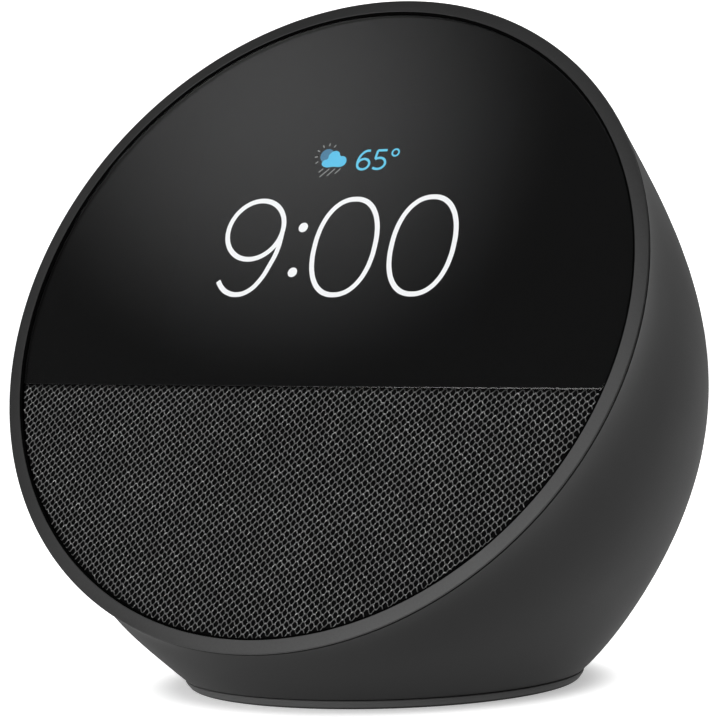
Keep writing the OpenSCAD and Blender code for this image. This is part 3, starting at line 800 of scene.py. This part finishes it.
# raised marks on the keys: minus, a slashed ring for the microphones, plus
marks = {"thick": 0.12, "sunk": 0.01, "edge": 0.02, "ring": [(1.0, 0.06), (1.3, 0.06), (1.3, -0.06), (1.0, -0.06)],
         "bars": {"volume_down": [(1.9, 0.34, 0)], "mic_off": [(2.9, 0.3, math.radians(45))],
                  "volume_up": [(1.9, 0.34, 0), (0.34, 1.9, 0)]}}
for keyBody, bars in marks["bars"].items():
    mid = keys["bodies"][keyBody][0] * casing["keyPitch"]
    pieces = []
    for wide, high, turn in bars:
        deselectAll()
        bpy.ops.mesh.primitive_cube_add(size=1, location=(0, 0, 0), rotation=(0, 0, turn),
                                        scale=(wide * mm, high * mm, marks["thick"] * mm))
        bpy.ops.object.transform_apply(location=True, rotation=True, scale=True)
        pieces.append(bpy.context.object)
    if keyBody == "mic_off":
        pieces.append(lathe("markRing", marks["ring"], 64))
    mark = joined(pieces)
    mark.name = mark.data.name = keyBody.replace("_", "-") + "-mark"
    for vert in mark.data.vertices:
        x, y, z = vert.co / mm
        vert.co = ((x + mid) * mm, y * mm, (z - marks["sunk"] + domeHeight(x + mid, y)) * mm)
    softenEdges(mark, marks["edge"], 1, 60)
    turnInto(mark, "keys")
    smooth(mark, 40)
    fit(mark, keyBody, finishes["keyMarks"], "casing_plastic")
print("keys done")

# inlet
inlet = {"steps": 144, "profile": [(4.6, -0.42), (4.72, -0.3), (6.4, -0.3), (6.62, -0.36), (6.8, -0.6), (6.8, -3.7),
                                   (8.6, -3.7), (8.6, -4.8), (6.8, -4.8), (6.8, -6.8), (3.1, -6.8), (3.1, -5.45),
                                   (3.25, -5.3), (4.6, -5.3)]}
socket = lathe("inletBezel", inlet["profile"], inlet["steps"])
turnInto(socket, "inlet")
smooth(socket, 40)
fit(socket, "case", finishes["inlet"], "black_plastic", "inlet_bezel")
print("inlet done")

# floor, light and camera
# the floor's dimmer glow in an oval round the foot is a painted contact shadow
studio = {"floorTone": 0.86, "paintedShadowGlow": 0.42, "floorBounce": 0.6, "paintedShadowFade": (0.98, 1.28),
          "footSize": (0.031, 0.0378), "dim": 0.085, "backdrop": 1.1,
          "rimGlow": 0.61, "rimDirection": (0.1, 0.99, 0.0), "rimSpread": (0.6, 0.98),
          "frontGlow": 3.4, "frontDirection": (-0.23, -0.87, 0.435), "frontSpread": (0.925, 0.947),
          "glassGlow": 0.64, "glassDirection": (-0.524, -0.475, 0.707), "glassSpread": (0.99404, 1.0),
          "top": 8.0, "topSize": 1.2, "topSpot": (0.15, 0.7, 1.3)}
deselectAll()
bpy.ops.mesh.primitive_plane_add(size=40)
floor = named("floor")
floorFinish = Finish("paleFloor")
where = floorFinish.add("ShaderNodeTexCoord", output="Object")
wide, deep = studio["footSize"]
# painted contact shadow: the floor glows less close to the foot and rises to its full glow further out
oval = floorFinish.coords((1 / wide, 1 / deep, 1.0))
away = floorFinish.add("ShaderNodeVectorMath", {"operation": "LENGTH"}, {0: oval}, "Value")
shadowFade = floorFinish.range(away, *studio["paintedShadowFade"])
paper = floorFinish.noise(where, 900.0, 2.0)
seenFloor = floorFinish.add("ShaderNodeLightPath", output="Is Camera Ray")
paperTone = floorFinish.blend(paper * 0.2, grey(studio["floorTone"]), grey(studio["floorTone"] * 0.97))
openFloor = floorFinish.blend(seenFloor, grey(studio["floorBounce"]), grey(1.0))
surface = floorFinish.principled(Base_Color=paperTone, Roughness=0.8, Specular_IOR_Level=0.1, Emission_Strength=1.0,
                                 Emission_Color=floorFinish.blend(shadowFade, grey(studio["paintedShadowGlow"]), openFloor))
floor.data.materials.append(surface)
floor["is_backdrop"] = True

room = Finish("softRoom", world=True)
look = room.add("ShaderNodeTexCoord", output="Generated")


def towards(name, kind="SMOOTHSTEP"):
    # a soft patch of light in one direction of the room
    unit = Vector(studio[name + "Direction"]).normalized()
    dot = room.add("ShaderNodeVectorMath", {"operation": "DOT_PRODUCT"}, {0: look, 1: unit}, "Value")
    return room.range(dot, *studio[name + "Spread"], kind=kind)


behind = towards("rim")
glassLight = towards("glass", "LINEAR") ** 2.0
front = towards("front")
glow = studio["dim"] + behind * studio["rimGlow"] + front * studio["frontGlow"] + glassLight * studio["glassGlow"]
seen = room.add("ShaderNodeLightPath", output="Is Camera Ray")
background = room.add("ShaderNodeBackground", {}, {"Color": (1, 1, 1, 1), "Strength": glow + seen * studio["backdrop"]})
room.add("ShaderNodeOutputWorld", {}, {"Surface": background})
bpy.context.scene.world = room.owner


def softbox(name, spot, aim, size, power):
    deselectAll()
    bpy.ops.object.light_add(type="AREA", location=spot)
    lamp = bpy.context.object
    lamp.name = name
    lamp.data.shape = "ELLIPSE"
    lamp.data.size, lamp.data.size_y = size
    lamp.data.energy = power
    lamp.rotation_euler = (Vector(aim) - Vector(spot)).to_track_quat("-Z", "Y").to_euler()


softbox("topBox", studio["topSpot"], (0, 0, 0), (studio["topSize"], studio["topSize"]), studio["top"])

view = {"azimuth": 29.44, "elevation": 0.454, "distance": 0.4386, "aim": (0, 0, 0.055), "roll": 0.00436,
        "lens": 133.5, "shiftX": -0.0371, "shiftY": -0.0209}
az, el = math.radians(view["azimuth"]), math.radians(view["elevation"])
away = Vector((math.sin(az) * math.cos(el), -math.cos(az) * math.cos(el), math.sin(el)))
right = Vector((math.cos(az), math.sin(az), 0))
upward = away.cross(right)
deselectAll()
bpy.ops.object.camera_add(location=Vector(view["aim"]) + away * view["distance"])
camera = bpy.context.object
camera.name = "viewCamera"
turned = Matrix((right - view["roll"] * upward, upward + view["roll"] * right, away)).transposed()
camera.rotation_euler = turned.to_euler()
camera.data.sensor_width = 36
camera.data.lens = view["lens"]
camera.data.shift_x, camera.data.shift_y = view["shiftX"], view["shiftY"]
camera.data.clip_start = 0.01
bpy.context.scene.camera = camera
bpy.context.scene.view_settings.view_transform = "Standard"
bpy.context.scene.view_settings.look = "None"
print("studio done")

low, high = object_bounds()
print("boxes:", [round(x / mm, 2) for x in (*cadLow, *cadHigh, *low, *high)])
